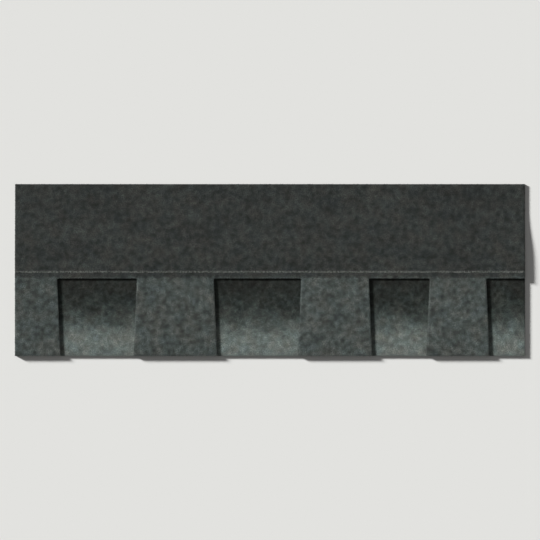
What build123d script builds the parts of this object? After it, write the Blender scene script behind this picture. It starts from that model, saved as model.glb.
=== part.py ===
from build123d import *
from itertools import cycle
from math import tan, radians
import os

# A laminated asphalt shingle as it lies on a level floor: a full-height sheet with dovetailed teeth,
# on a backing strip that shows through the gaps between the teeth.
# Millimetres. X runs along the shingle, Y from the butt edge to the top edge, Z up.
# The origin is on the floor, under the middle of the shingle.

# Driving dimensions: the blank
LENGTH = 1000.0
HEIGHT = 337.0
SHEET_THICKNESS = 2.8

# Driving dimensions: bands up from the butt edge
EXPOSURE = 143.0              # left bare by the next course
CUT_ABOVE_EXPOSURE = 9.0      # how far the cut-outs run up under the next course
COMMON_BOND = 26.0            # both sheets lie on each other above the cut-outs, for the nails

# Driving dimensions: the teeth, each followed by the gap to its right, measured at the exposure line
TOOTH_WIDTHS = (124.0, 151.0, 133.0, 111.0)
GAP_WIDTHS = (156.0, 171.0, 119.0, 133.0)
END_CUT_INTO_TOOTH = 41.0     # the left end of the shingle cuts the first tooth here
FLARE_ANGLE = 2.5             # degrees by which each side of a tooth leans out towards the butt
ROOT_RADIUS = 3.0             # rounded corners at the top of a cut-out

# Driving dimensions: self-seal dashes under the butt edge
SEAL_THICKNESS = 0.6
SEAL_WIDTH = 12.0
SEAL_INSET = 12.0             # butt edge to the dashes
SEAL_DASH_LENGTH = 50.0
SEAL_DASH_GAP = 12.5
SEAL_CORNER_RADIUS = 3.0

# Driving dimensions: release film let into the underside near the top edge
FILM_WIDTH = 28.0
FILM_THICKNESS = 0.1
FLAT_BELOW_FILM = 10.0        # flat stretch between the film and the sag of the top lap

# Worked-out places
BUTT_Y = -HEIGHT / 2
TOP_Y = HEIGHT / 2
EXPOSURE_Y = BUTT_Y + EXPOSURE
ROOT_Y = EXPOSURE_Y + CUT_ABOVE_EXPOSURE
BOND_TOP_Y = ROOT_Y + COMMON_BOND
SEAL_Y = BUTT_Y + SEAL_INSET + SEAL_WIDTH / 2
FILM_Y = -SEAL_Y              # packed shingles are turned end for end, so the film faces the dashes
FLAT_Y = FILM_Y - FILM_WIDTH / 2 - FLAT_BELOW_FILM
BACKING_Z = SEAL_THICKNESS
TOOTH_Z = BACKING_Z + SHEET_THICKNESS
FLARE = tan(radians(FLARE_ANGLE))


def gap_spans():
    """Left and right end of each gap at the exposure line, from the left end of the shingle."""
    spans = []
    x = -LENGTH / 2 - END_CUT_INTO_TOOTH
    for tooth, gap in cycle(zip(TOOTH_WIDTHS, GAP_WIDTHS)):
        left = x + tooth
        x = left + gap
        if left >= LENGTH / 2:
            return spans
        spans.append((left, x))


def gap_outline(left, right):
    """One cut-out in plan: narrower at the butt, where it runs out past the edge."""
    run_out = SHEET_THICKNESS
    up = FLARE * (ROOT_Y - EXPOSURE_Y)
    down = FLARE * (EXPOSURE_Y - BUTT_Y + run_out)
    corners = [
        (left + down, BUTT_Y - run_out),
        (right - down, BUTT_Y - run_out),
        (right + up, ROOT_Y),
        (left - up, ROOT_Y),
    ]
    outline = make_face(Polyline(*corners, close=True))
    return fillet(outline.vertices().group_by(Axis.Y)[-1], ROOT_RADIUS)


def sheet_profile():
    """Section of the upper sheet: level over the backing, then sagging to the floor in two arcs."""
    middle = ((BOND_TOP_Y + FLAT_Y) / 2, TOOTH_Z / 2)
    on_backing = Line((BUTT_Y, TOOTH_Z), (BOND_TOP_Y, TOOTH_Z))
    falling = TangentArc((BOND_TOP_Y, TOOTH_Z), middle, tangent=(1, 0))
    landing = TangentArc(middle, (FLAT_Y, 0), tangent=falling % 1)
    on_floor = Line((FLAT_Y, 0), (TOP_Y, 0))
    underside = on_backing + falling + landing + on_floor
    return make_face(offset(underside, SHEET_THICKNESS, side=Side.LEFT))


def film(thickness):
    place = Pos(0, FILM_Y, 0)
    return place * extrude(Rectangle(LENGTH, FILM_WIDTH), thickness)


def tooth_sheet():
    sheet = extrude(Plane.YZ.offset(-LENGTH / 2) * sheet_profile(), LENGTH)
    gaps = [gap_outline(left, right) for left, right in gap_spans()]
    sheet -= Pos(0, 0, TOOTH_Z) * extrude(Sketch() + gaps, SHEET_THICKNESS)
    return sheet - film(FILM_THICKNESS)


def backing_strip():
    strip = Rectangle(LENGTH, BOND_TOP_Y - BUTT_Y, align=(Align.CENTER, Align.MIN))
    return Pos(0, BUTT_Y, BACKING_Z) * extrude(strip, SHEET_THICKNESS)


def seal_strip():
    pitch = SEAL_DASH_LENGTH + SEAL_DASH_GAP
    count = int((LENGTH + SEAL_DASH_GAP) // pitch)
    dash = RectangleRounded(SEAL_DASH_LENGTH, SEAL_WIDTH, SEAL_CORNER_RADIUS)
    row = GridLocations(pitch, SEAL_WIDTH, count, 1) * dash
    return Pos(0, SEAL_Y, 0) * extrude(Sketch() + row, SEAL_THICKNESS)


os.makedirs("parts", exist_ok=True)
export_step(tooth_sheet(), "parts/tooth_sheet.step")
export_step(backing_strip(), "parts/backing_strip.step")
export_step(seal_strip(), "parts/seal_strip.step")
export_step(film(FILM_THICKNESS), "parts/release_film.step")
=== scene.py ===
import math
from collections import namedtuple
import bpy
import numpy as np
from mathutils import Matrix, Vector


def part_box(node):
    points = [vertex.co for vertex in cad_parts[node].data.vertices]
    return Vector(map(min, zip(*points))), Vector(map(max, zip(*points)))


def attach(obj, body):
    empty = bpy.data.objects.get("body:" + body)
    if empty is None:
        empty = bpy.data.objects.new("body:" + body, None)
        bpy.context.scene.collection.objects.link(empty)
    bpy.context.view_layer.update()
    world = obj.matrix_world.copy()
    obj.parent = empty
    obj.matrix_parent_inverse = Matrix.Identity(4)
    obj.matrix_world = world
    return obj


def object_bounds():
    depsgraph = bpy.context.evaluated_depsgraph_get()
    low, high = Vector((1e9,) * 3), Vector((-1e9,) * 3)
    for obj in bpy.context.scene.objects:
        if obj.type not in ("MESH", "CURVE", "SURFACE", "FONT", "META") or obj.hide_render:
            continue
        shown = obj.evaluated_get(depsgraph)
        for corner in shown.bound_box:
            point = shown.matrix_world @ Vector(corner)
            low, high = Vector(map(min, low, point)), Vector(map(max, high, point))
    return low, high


# A laminated asphalt shingle lying on a pale floor, seen from straight above with its butt edge
# at the bottom of the picture. Metres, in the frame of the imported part.

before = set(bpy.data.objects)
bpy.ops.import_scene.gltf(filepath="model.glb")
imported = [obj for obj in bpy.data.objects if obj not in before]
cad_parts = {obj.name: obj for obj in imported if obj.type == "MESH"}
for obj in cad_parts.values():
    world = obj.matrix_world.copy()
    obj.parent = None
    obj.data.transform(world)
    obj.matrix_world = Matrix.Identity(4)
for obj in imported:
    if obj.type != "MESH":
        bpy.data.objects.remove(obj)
cad_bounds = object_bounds()
MM = 0.001

# The cut of the shingle: widths at the exposure line, each gap after its tooth
EXPOSURE = 143 * MM
CUT_ABOVE_EXPOSURE = 9 * MM
TOOTH_WIDTHS = (124 * MM, 151 * MM, 133 * MM, 111 * MM)
GAP_WIDTHS = (156 * MM, 171 * MM, 119 * MM, 133 * MM)
END_CUT_INTO_TOOTH = 41 * MM
FLARE = math.tan(math.radians(2.5))
ROOT_RADIUS = 3 * MM
FLAT_BELOW_FILM = 10 * MM

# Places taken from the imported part
SHEET_LO, SHEET_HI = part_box("tooth_sheet")
BACKING_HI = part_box("backing_strip")[1]
FILM_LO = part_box("release_film")[0]
TOOTH_TOP_Z = SHEET_HI[2]
GAP_FLOOR_Z = BACKING_HI[2]
SHEET_THICKNESS = TOOTH_TOP_Z - GAP_FLOOR_Z
BUTT_Y = SHEET_LO[1]
BOND_TOP_Y = BACKING_HI[1]
EXPOSURE_Y = BUTT_Y + EXPOSURE
ROOT_Y = EXPOSURE_Y + CUT_ABOVE_EXPOSURE
FLAT_Y = FILM_LO[1] - FLAT_BELOW_FILM

# Lattice of granules, with its shake as a share of the pitch
TOOTH_PITCH = 1.7 * MM
LAP_PITCH = 2.0 * MM
LATTICE_SHAKE = 0.3
LAP_STRIPS = 4
MAP_MARGIN = 0.01

# One granule, with its reach as a share of its size and its size as a share of the pitch
STONE_CORNERS = 6
STONE_SIZES = (0.8, 1.15)
UPPER_REACH = 0.5
LOWER_REACH = 0.68
REACH_SPREAD = (0.85, 1.15)
SQUEEZE_SPREAD = (0.8, 1.25)
CORNER_SWING = 0.3
STONE_RELIEF = 0.42 * MM
RELIEF_SPREAD = (0.6, 1.2)
TOP_UNEVENNESS = 0.03 * MM
STONE_ROOT = 0.25 * MM
SHOULDER = 3.5 * MM
OVERHANG = 0.35 * MM

# Faces of one granule by its corners, of which the even ones are the upper ones
STONE_FACES = (
    (0, 2, 4), (5, 3, 1), (0, 1, 2), (2, 3, 4),
    (4, 5, 0), (2, 1, 3), (4, 3, 5), (0, 5, 1),
)

# Finishes
MOTTLE_SIZE = 9.5 * MM
CAST_SIZE = 24 * MM
MAT_WIDTH = 0.5 * MM
MAT_SWING = 0.4 * MM
NAIL_LINE_Y = BUTT_Y + 165 * MM
NAIL_LINE_WIDTH = 5 * MM
SPECULAR_LEVEL = 0.15

# Light and view
KEY_ELEVATION = math.radians(14)
KEY_AZIMUTH = math.radians(152.4)
KEY_LEVEL = 0.84
KEY_ANGLE = math.radians(8)
FILL_LEVEL = 0.16
UNDER_LEVEL = 0.8
FLOOR_COLOUR = (226, 226, 223)
FLOOR_HALF = 40.0
VIEW_WIDTH = 1.06
LENS = 135


class Wire:
    """A socket in a finish, whose arithmetic adds Math nodes."""

    def __init__(self, finish, socket):
        self.finish = finish
        self.socket = socket

    def math(self, operation, *others):
        return self.finish.add("ShaderNodeMath", (self, *others), operation=operation)

    def __add__(self, other):
        return self.math("ADD", other)

    def __sub__(self, other):
        return self.math("SUBTRACT", other)

    def __rsub__(self, other):
        return self.finish.add("ShaderNodeMath", (other, self), operation="SUBTRACT")

    def __mul__(self, other):
        return self.math("MULTIPLY", other)

    __radd__ = __add__
    __rmul__ = __mul__


class Finish:
    """The node tree of a material or a world. Each call of add makes one node and gives back an output."""

    def __init__(self, name, library=bpy.data.materials):
        self.owner = library.new(name)
        self.owner.use_nodes = True
        self.tree = self.owner.node_tree
        self.tree.nodes.clear()

    def add(self, kind, inputs=(), out=0, stops=(), **settings):
        node = self.tree.nodes.new(kind)
        for name, value in settings.items():
            setattr(node, name, value)
        if stops:
            ramp = node.color_ramp.elements
            while len(ramp) < len(stops):
                ramp.new(0.5)
            for element, (place, colour) in zip(ramp, stops):
                element.position = place
                element.color = (*colour, 1)
        named = inputs.items() if isinstance(inputs, dict) else enumerate(inputs)
        for name, value in named:
            if isinstance(value, Wire):
                self.tree.links.new(value.socket, node.inputs[name])
            elif value is not None:
                node.inputs[name].default_value = value
        return Wire(self, node.outputs[out]) if node.outputs else None

    def place(self, axis=None):
        """The place on the part, in metres, or one of its coordinates."""
        where = self.add("ShaderNodeTexCoord", out="Object")
        if axis is None:
            return where
        return self.add("ShaderNodeSeparateXYZ", (where,), out=axis)

    def noise(self, size, detail=2.0, stretch=None):
        """Noise from 0 to 1 with clumps of about the given size in metres."""
        where = self.place()
        if stretch:
            where = self.add("ShaderNodeVectorMath", (where, stretch), operation="MULTIPLY")
        inputs = {"Vector": where, "Scale": 1 / size, "Detail": detail}
        return self.add("ShaderNodeTexNoise", inputs)

    def sway(self, size, swing, stretch=None):
        """Noise around 0 that reaches half the swing to either side."""
        return (self.noise(size, stretch=stretch) - 0.5) * swing

    def ramp(self, value, stops, interpolation="LINEAR"):
        ramp = self.add("ShaderNodeValToRGB", (value,), stops=stops)
        ramp.socket.node.color_ramp.interpolation = interpolation
        return ramp

    def span(self, value, low, high, curve="LINEAR"):
        """0 at low, 1 at high, clamped."""
        inputs = {"Value": value, "From Min": low, "From Max": high}
        return self.add("ShaderNodeMapRange", inputs, interpolation_type=curve)

    def band(self, value, middle, width):
        """1 up to a quarter of the width from the middle, 0 from half the width on."""
        off = (value - middle).math("ABSOLUTE")
        return self.span(off, width / 2, width / 4)

    def grains(self, size):
        """A random number from 0 to 1 for each cell of about the given size."""
        cells = self.add("ShaderNodeTexVoronoi", {"Vector": self.place(), "Scale": 1 / size}, out="Color")
        return self.add("ShaderNodeSeparateColor", (cells,))

    def mix(self, share, first, second, blend="MIX"):
        inputs = {"Factor": share, 6: first, 7: second}
        return self.add("ShaderNodeMix", inputs, out=2, data_type="RGBA", blend_type=blend)

    def times(self, colour, other):
        """One colour multiplied by another."""
        return self.mix(1.0, colour, other, "MULTIPLY")

    def bump(self, height, depth):
        return self.add("ShaderNodeBump", {"Height": height, "Distance": depth})

    def surface(self, **inputs):
        """Closes the tree with a Principled surface. Underscores in names stand for spaces."""
        named = {name.replace("_", " "): value for name, value in inputs.items()}
        shader = self.add("ShaderNodeBsdfPrincipled", named)
        self.add("ShaderNodeOutputMaterial", (shader,))
        return self.owner


def srgb(*levels):
    """A colour in linear light from the levels that a screen shows, 0 to 255."""
    return tuple(
        v / 12.92 if v <= 0.04045 else ((v + 0.055) / 1.055) ** 2.4 for v in (c / 255 for c in levels)
    )


def rgba(*levels):
    return (*srgb(*levels), 1)


def grey(level):
    """The same number for red, green and blue."""
    return (level, level, level)


# Each granule's own lightness against its neighbours, by a random draw
GRAIN_STOPS = (
    (0.00, (0.72, 0.72, 0.72)),
    (0.07, (0.86, 0.86, 0.85)),
    (0.24, (0.95, 0.96, 0.94)),
    (0.48, (1.01, 1.01, 1.02)),
    (0.70, (1.08, 1.07, 1.05)),
    (0.82, (1.08, 1.11, 1.10)),
    (0.94, (1.28, 1.26, 1.23)),
)

# Drift of hue over a few centimetres: brown, warm grey, green, blue
CAST_STOPS = (
    (0.28, (1.08, 1.00, 0.95)),
    (0.44, (1.03, 1.00, 0.98)),
    (0.56, (0.98, 1.01, 0.99)),
    (0.72, (0.96, 1.00, 1.03)),
)

# Shadow band of the backing, from the butt up to the exposure line
BAND_STOPS = (
    (0.00, srgb(111, 119, 116)),
    (0.25, srgb(112, 120, 117)),
    (0.37, srgb(97, 105, 102)),
    (0.50, srgb(70, 76, 74)),
    (0.64, srgb(53, 58, 56)),
    (0.80, srgb(43, 47, 45)),
    (1.00, srgb(38, 40, 38)),
)

# Lighter and darker specks in the dark of the shadow band
SPECK_STOPS = (
    (0.3, (0.55, 0.52, 0.51)),
    (0.7, (1.45, 1.54, 1.50)),
)

# Grains of the sand on the underside
SAND_STOPS = (
    (0.00, srgb(34, 34, 33)),
    (0.30, srgb(56, 55, 52)),
    (0.55, srgb(78, 76, 72)),
    (0.88, srgb(118, 114, 106)),
)

# Wrinkles of the release film over the dark sheet
FILM_STOPS = (
    (0.30, srgb(58, 58, 59)),
    (0.55, srgb(70, 71, 72)),
    (0.70, srgb(98, 100, 102)),
)


def tone_of_teeth(finish):
    """Blend of the teeth: grey with soft lighter and darker drops."""
    drops = finish.noise(60 * MM, stretch=(1, 0.6, 1))
    return finish.ramp(drops, ((0.3, srgb(74, 80, 78)), (0.7, srgb(83, 89, 87))))


def tone_of_gaps(finish):
    """Shadow band of the backing: dark under the next course, light at the butt."""
    height = finish.span(finish.place("Y"), BUTT_Y, EXPOSURE_Y)
    waves = finish.sway(34 * MM, 0.32, (0.6, 1, 1))
    ragged = height + waves + finish.sway(7 * MM, 0.16)
    plain = finish.ramp(ragged, BAND_STOPS)
    specked = finish.times(plain, finish.ramp(finish.noise(8 * MM), SPECK_STOPS))
    return finish.mix(finish.span(ragged, 0.4, 0.7), plain, specked)


def tone_of_lap(finish):
    """Darker granules above the exposure, with the blend of the teeth running in at their foot."""
    edge = finish.place("Y") + finish.sway(9 * MM, 12 * MM)
    covered = finish.span(edge, ROOT_Y - 2 * MM, ROOT_Y + 5 * MM)
    drops = finish.noise(45 * MM, stretch=(0.3, 1, 1))
    dark = finish.ramp(drops, ((0.3, srgb(48, 51, 50)), (0.7, srgb(58, 61, 59))))
    return finish.mix(covered, tone_of_teeth(finish), dark)


def granule_finish(name, tone, unevenness, painted=False):
    """Crushed, coloured stone: each granule has one shade, around the tone of its place."""
    finish = Finish(name)
    draw = finish.add("ShaderNodeAttribute", out="Fac", attribute_name="draw")
    grain = finish.ramp(draw, GRAIN_STOPS, "CONSTANT")
    clumps = finish.span(finish.noise(MOTTLE_SIZE, 0.6), 0.2, 0.8)
    mottle = finish.ramp(clumps, ((0, grey(1 - unevenness)), (1, grey(1 + unevenness))))
    tint = finish.ramp(finish.noise(CAST_SIZE, 1.0), CAST_STOPS)
    colour = finish.times(finish.times(finish.times(tone(finish), grain), mottle), tint)
    if painted:
        line = finish.band(finish.place("Y"), NAIL_LINE_Y, NAIL_LINE_WIDTH)
        worn = finish.span(finish.noise(3 * MM), 0.35, 0.6) * 0.7
        colour = finish.mix(line * worn, colour, rgba(120, 122, 118))
    return finish.surface(Base_Color=colour, Roughness=0.85, Specular_IOR_Level=SPECULAR_LEVEL)


def sheet_finish(name, tone, middle):
    """Asphalt sheet: dark between the granules, black at the cuts with the glass mat showing, and
    sanded below."""
    finish = Finish(name)
    normal = finish.add("ShaderNodeTexCoord", out="Normal")
    facing = finish.add("ShaderNodeSeparateXYZ", (normal,), out="Z")
    top = finish.span(facing, 0.4, 0.6)
    under = finish.span(facing, -0.4, -0.6)
    grit = finish.noise(0.8 * MM)
    bed = finish.mix(0.5, rgba(26, 26, 25), tone(finish))
    cut = finish.ramp(grit, ((0.35, srgb(16, 16, 16)), (0.75, srgb(44, 43, 41))))
    mat = finish.band(finish.place("Z") + (grit - 0.5) * MAT_SWING, middle(finish), MAT_WIDTH)
    cut = finish.mix(mat * 0.8, cut, rgba(96, 90, 80))
    sand = finish.ramp(finish.grains(0.7 * MM), SAND_STOPS, "CONSTANT")
    streaks = finish.noise(16 * MM, 3.0, (0.15, 1, 1))
    sand = finish.times(sand, finish.ramp(streaks, ((0.3, grey(0.72)), (0.7, grey(1.15)))))
    colour = finish.mix(under, finish.mix(top, cut, bed), sand)
    relief = finish.bump(grit, 0.2 * MM)
    return finish.surface(Base_Color=colour, Roughness=0.8, Specular_IOR_Level=SPECULAR_LEVEL, Normal=relief)


def mat_in_tooth_sheet(finish):
    """Height of the glass mat, half way through the sheet, which sags above the bond."""
    fallen = finish.span(finish.place("Y"), BOND_TOP_Y, FLAT_Y, "SMOOTHSTEP")
    return fallen * (SHEET_THICKNESS - TOOTH_TOP_Z) + (TOOTH_TOP_Z - SHEET_THICKNESS / 2)


def mat_in_backing(finish):
    return GAP_FLOOR_Z - SHEET_THICKNESS / 2


def seal_finish():
    """Glossy asphalt, lumpy from the nozzle."""
    finish = Finish("seal_asphalt")
    lumps = finish.noise(6 * MM, 3.0)
    shine = finish.span(lumps, 0.3, 0.7) * 0.25 + 0.2
    return finish.surface(Base_Color=rgba(22, 21, 21), Roughness=shine, Normal=finish.bump(lumps, 0.5 * MM))


def film_finish():
    """Thin clear film, wrinkled along the shingle, with the dark sheet showing through."""
    finish = Finish("release_film")
    wrinkles = finish.noise(5 * MM, 4.0, (0.25, 1, 1))
    colour = finish.ramp(wrinkles, FILM_STOPS)
    return finish.surface(Base_Color=colour, Roughness=0.18, Normal=finish.bump(wrinkles, 0.5 * MM))


def floor_finish():
    """Pale and matt from above. From below it lets the underside show."""
    finish = Finish("floor")
    below = finish.add("ShaderNodeNewGeometry", out="Backfacing")
    matt = finish.add("ShaderNodeBsdfDiffuse", {"Color": rgba(*FLOOR_COLOUR)})
    clear = finish.add("ShaderNodeBsdfTransparent")
    shader = finish.add("ShaderNodeMixShader", (below, matt, clear))
    finish.add("ShaderNodeOutputMaterial", (shader,))
    return finish.owner


def tooth_spans():
    """Left and right side of each tooth at the exposure line, the first one past the sheet's end."""
    spans = []
    x = SHEET_LO[0] - END_CUT_INTO_TOOTH
    for tooth, gap in zip(TOOTH_WIDTHS, GAP_WIDTHS):
        spans.append((x, x + tooth))
        x += tooth + gap
    return spans


def gap_spans():
    """Left and right side of each gap at the exposure line. The last one is open to the right."""
    teeth = tooth_spans()
    between = [(tooth[1], after[0]) for tooth, after in zip(teeth, teeth[1:])]
    return between + [(teeth[-1][1], math.inf)]


def sheet_height(y):
    """Top of the tooth sheet: level to the end of the bond, then down in two equal arcs."""
    run = FLAT_Y - BOND_TOP_Y
    drop = TOOTH_TOP_Z - SHEET_THICKNESS
    radius = (run ** 2 + drop ** 2) / (4 * drop)
    along = np.clip(y - BOND_TOP_Y, 0, run)
    falling = TOOTH_TOP_Z - radius + np.sqrt(radius ** 2 - np.minimum(along, run / 2) ** 2)
    left_to_run = run - along
    landing = SHEET_THICKNESS + radius - np.sqrt(radius ** 2 - np.minimum(left_to_run, run / 2) ** 2)
    return np.where(along < run / 2, falling, landing)


def backing_height(y):
    return np.full_like(y, GAP_FLOOR_Z)


def from_gaps(x, y):
    """How far a point lies outside the cut-outs between the teeth, whose two upper corners are round."""
    nearest = np.full(np.shape(x), np.inf)
    out = FLARE * (EXPOSURE_Y - y)
    for left, right in gap_spans():
        wall = np.maximum(left + out - x, x - right + out) + ROOT_RADIUS
        root = y - ROOT_Y + ROOT_RADIUS
        corner = np.hypot(np.maximum(wall, 0), np.maximum(root, 0))
        away = np.minimum(np.maximum(wall, root), 0) + corner - ROOT_RADIUS
        nearest = np.minimum(nearest, away)
    return nearest


def from_ends(x, y):
    """How far a point lies inside the two ends and the butt of the shingle."""
    return np.minimum(np.minimum(x - SHEET_LO[0], SHEET_HI[0] - x), y - BUTT_Y)


def from_tooth_sheet_cuts(x, y):
    """How far a point lies inside every cut edge of the tooth sheet."""
    return np.minimum(np.minimum(from_ends(x, y), SHEET_HI[1] - y), from_gaps(x, y))


# What a run of granules lies in: pitch, distance to the cuts, height of the sheet, slot and finish
Bed = namedtuple("Bed", "pitch cuts height slot finish")


def granule_spots(rng, low_y, high_y, pitch):
    """Centres of granules over the whole length, between two heights: a hexagonal lattice, shaken."""
    rise = pitch * math.sqrt(3) / 2
    rows = int((high_y - low_y) / rise) + 2
    columns = int((SHEET_HI[0] - SHEET_LO[0]) / pitch) + 2
    row, column = np.mgrid[0:rows, 0:columns]
    x = SHEET_LO[0] + (column + 0.5 * (row % 2)) * pitch
    y = low_y + row * rise
    x = (x + rng.uniform(-LATTICE_SHAKE, LATTICE_SHAKE, x.shape) * pitch).ravel()
    y = (y + rng.uniform(-LATTICE_SHAKE, LATTICE_SHAKE, y.shape) * pitch).ravel()
    inside = (y > low_y) & (y < high_y)
    return x[inside], y[inside]


def stone_corners(rng, spots, bed):
    """Corners of each granule, upper and lower in turn: x, y and z with a row for each granule."""
    x, y = spots
    count = len(x)
    each = (count, 1)
    every = (count, STONE_CORNERS)
    corner = np.arange(STONE_CORNERS)
    turn = rng.uniform(0, 2 * math.pi, each) + corner * 2 * math.pi / STONE_CORNERS
    turn = turn + rng.uniform(-CORNER_SWING, CORNER_SWING, every)
    upper = corner % 2 == 0
    size = bed.pitch * rng.uniform(*STONE_SIZES, each)
    reach = size * np.where(upper, UPPER_REACH, LOWER_REACH) * rng.uniform(*REACH_SPREAD, every)
    squeeze = rng.uniform(*SQUEEZE_SPREAD, each)
    off_x = reach * np.cos(turn) * squeeze
    off_y = reach * np.sin(turn) / squeeze

    # A corner that would pass a cut by more than the overhang is pulled back towards its centre
    inside = bed.cuts(x, y)[:, None]
    room = inside + OVERHANG
    taken = inside - bed.cuts(x[:, None] + off_x, y[:, None] + off_y)
    pull = np.where(taken > room, room / np.maximum(taken, room), 1)
    px = x[:, None] + off_x * pull
    py = y[:, None] + off_y * pull

    # Towards a cut the granules lie lower, over the width of the shoulder
    bulge = 1 - np.maximum(1 - bed.cuts(px, py) / SHOULDER, 0) ** 2
    lift = STONE_RELIEF * rng.uniform(*RELIEF_SPREAD, each) + rng.normal(0, TOP_UNEVENNESS, every)
    pz = bed.height(py) + np.where(upper, lift * bulge, -STONE_ROOT)
    return px, py, pz


def plan_map(px, py, strip):
    """Lays each strip of a piece across the whole picture of the piece, one strip above another."""
    strips = range(strip.max() + 1)
    left = np.array([px[strip == n].min() for n in strips])
    width = max(px[strip == n].max() - left[n] for n in strips)
    across = (px - left[strip][:, None]) / width
    up = (py - py.min()) / (py.max() - py.min())
    return across, (strip[:, None] + MAP_MARGIN + (1 - 2 * MAP_MARGIN) * up) / len(strips)


def granules(name, rng, spots, strip, bed):
    """One piece of crushed stone: each granule is a skew six-cornered block bedded in the asphalt."""
    px, py, pz = stone_corners(rng, spots, bed)
    count = len(px)
    first_corners = STONE_CORNERS * np.arange(count)[:, None, None]
    corners = (np.array(STONE_FACES)[None] + first_corners).ravel()
    mesh = bpy.data.meshes.new(name)
    mesh.vertices.add(STONE_CORNERS * count)
    mesh.vertices.foreach_set("co", np.stack((px, py, pz), -1).astype(np.float32).ravel())
    mesh.loops.add(len(corners))
    mesh.loops.foreach_set("vertex_index", corners.astype(np.int32))
    mesh.polygons.add(len(corners) // 3)
    mesh.polygons.foreach_set("loop_start", np.arange(0, len(corners), 3, dtype=np.int32))
    mesh.update()
    mesh.shade_flat()
    draws = np.repeat(rng.uniform(0, 1, count), STONE_CORNERS)
    mesh.attributes.new("draw", "FLOAT", "POINT").data.foreach_set("value", draws.astype(np.float32))
    plan = mesh.uv_layers.new(name="OFBake")
    places = np.stack(plan_map(px, py, strip), -1).reshape(-1, 2)[corners]
    plan.data.foreach_set("uv", places.astype(np.float32).ravel())
    mesh.materials.append(bed.finish)
    piece = bpy.data.objects.new(name, mesh)
    bpy.context.collection.objects.link(piece)
    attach(piece, "root")


def span_of(x, spans, spread=0):
    """Which span each place lies in, counted from 0, or -1 outside them all."""
    found = np.full(x.shape, -1)
    for number, (left, right) in enumerate(spans):
        found[(x > left - spread) & (x <= right + spread)] = number
    return found


def lay_bands(name, seed, spots, strip, bands, bed):
    """Lays the granules that lie on a strip, in bands along the shingle with one piece for each."""
    x, y = spots
    edges = np.linspace(y.min(), y.max(), bands + 1)
    band = np.digitize(y, edges[1:-1])
    for number in range(bands):
        own = (band == number) & (strip >= 0) & (bed.cuts(x, y) > 0)
        rng = np.random.default_rng(seed + number)
        granules(f"{name}_{number + 1}", rng, (x[own], y[own]), strip[own], bed)


def lay_granules():
    """Teeth and gaps share one lattice up to the roots of the gaps. The top lap has its own."""
    foot = granule_spots(np.random.default_rng(1), BUTT_Y, ROOT_Y, TOOTH_PITCH)
    lean = FLARE * (EXPOSURE_Y - foot[1])
    tooth_stone = granule_finish("tooth_stone", tone_of_teeth, 0.58)
    teeth = Bed(TOOTH_PITCH, from_tooth_sheet_cuts, sheet_height, "tooth_granules", tooth_stone)
    lay_bands("tooth_granules", 100, foot, span_of(foot[0], tooth_spans(), lean), 2, teeth)

    backing_stone = granule_finish("backing_stone", tone_of_gaps, 0.40)
    backing = Bed(TOOTH_PITCH, from_ends, backing_height, "backing_granules", backing_stone)
    lay_bands("gap_granules", 200, foot, span_of(foot[0], gap_spans(), -lean), 2, backing)

    lap = granule_spots(np.random.default_rng(2), ROOT_Y, SHEET_HI[1], LAP_PITCH)
    ends = np.linspace(SHEET_LO[0], SHEET_HI[0], LAP_STRIPS + 1)
    lap_stone = granule_finish("lap_stone", tone_of_lap, 0.5, painted=True)
    top_lap = Bed(LAP_PITCH, from_tooth_sheet_cuts, sheet_height, "tooth_granules", lap_stone)
    lay_bands("lap_granules", 300, lap, span_of(lap[0], list(zip(ends, ends[1:]))), 3, top_lap)


def dress_sheets():
    """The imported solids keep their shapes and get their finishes."""
    finishes = {
        "tooth_sheet": sheet_finish("tooth_sheet_asphalt", tone_of_lap, mat_in_tooth_sheet),
        "backing_strip": sheet_finish("backing_asphalt", tone_of_gaps, mat_in_backing),
        "seal_strip": seal_finish(),
        "release_film": film_finish(),
    }
    for node, finish in finishes.items():
        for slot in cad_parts[node].material_slots:
            slot.material = finish


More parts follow.
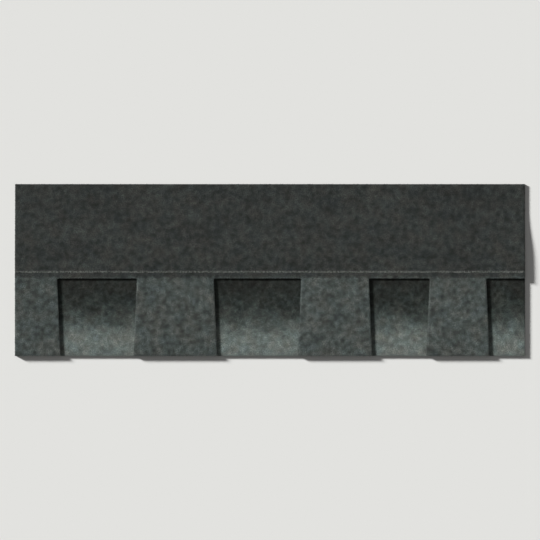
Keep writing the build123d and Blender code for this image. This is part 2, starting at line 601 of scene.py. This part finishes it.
def lay_floor():
    mesh = bpy.data.meshes.new("floor")
    corners = [(x * FLOOR_HALF, y * FLOOR_HALF, 0) for x, y in ((-1, -1), (1, -1), (1, 1), (-1, 1))]
    mesh.from_pydata(corners, [], [(0, 1, 2, 3)])
    mesh.materials.append(floor_finish())
    floor = bpy.data.objects.new("floor", mesh)
    floor.visible_diffuse = False
    floor.visible_shadow = False
    bpy.context.collection.objects.link(floor)


def light_from_upper_left():
    """A low sun. KEY_LEVEL is how brightly it lights a level surface."""
    sun = bpy.data.lights.new("key", "SUN")
    sun.energy = KEY_LEVEL * math.pi / math.sin(KEY_ELEVATION)
    sun.angle = KEY_ANGLE
    lamp = bpy.data.objects.new("key", sun)
    towards = Vector((
        math.cos(KEY_AZIMUTH) * math.cos(KEY_ELEVATION),
        math.sin(KEY_AZIMUTH) * math.cos(KEY_ELEVATION),
        math.sin(KEY_ELEVATION),
    ))
    lamp.rotation_mode = "QUATERNION"
    lamp.rotation_quaternion = towards.to_track_quat("Z", "Y")
    bpy.context.collection.objects.link(lamp)


def light_all_round():
    """Dim light from above, more from below for the underside, and a pale background to what is seen."""
    studio = Finish("studio", bpy.data.worlds)
    direction = studio.add("ShaderNodeTexCoord", out="Generated")
    up = studio.add("ShaderNodeSeparateXYZ", (direction,), out="Z")
    level = studio.span(up, 0.0, -0.01) * (UNDER_LEVEL - FILL_LEVEL) + FILL_LEVEL
    lit = studio.mix(level, rgba(0, 0, 0), rgba(255, 255, 255))
    rays = ("Is Camera Ray", "Is Glossy Ray", "Is Transmission Ray")
    seen = sum(studio.add("ShaderNodeLightPath", out=ray) for ray in rays)
    colour = studio.mix(seen, lit, rgba(*FLOOR_COLOUR))
    background = studio.add("ShaderNodeBackground", (colour,))
    studio.add("ShaderNodeOutputWorld", (background,))
    bpy.context.scene.world = studio.owner


def aim_camera():
    """Straight down on the middle of the shingle."""
    data = bpy.data.cameras.new("camera")
    data.lens = LENS
    camera = bpy.data.objects.new("camera", data)
    middle = (cad_bounds[0] + cad_bounds[1]) / 2
    distance = VIEW_WIDTH * LENS / data.sensor_width
    camera.location = (middle[0], middle[1], distance)
    bpy.context.collection.objects.link(camera)
    bpy.context.scene.camera = camera


bpy.context.scene.view_settings.view_transform = "Standard"
dress_sheets()
lay_granules()
lay_floor()
light_from_upper_left()
light_all_round()
aim_camera()
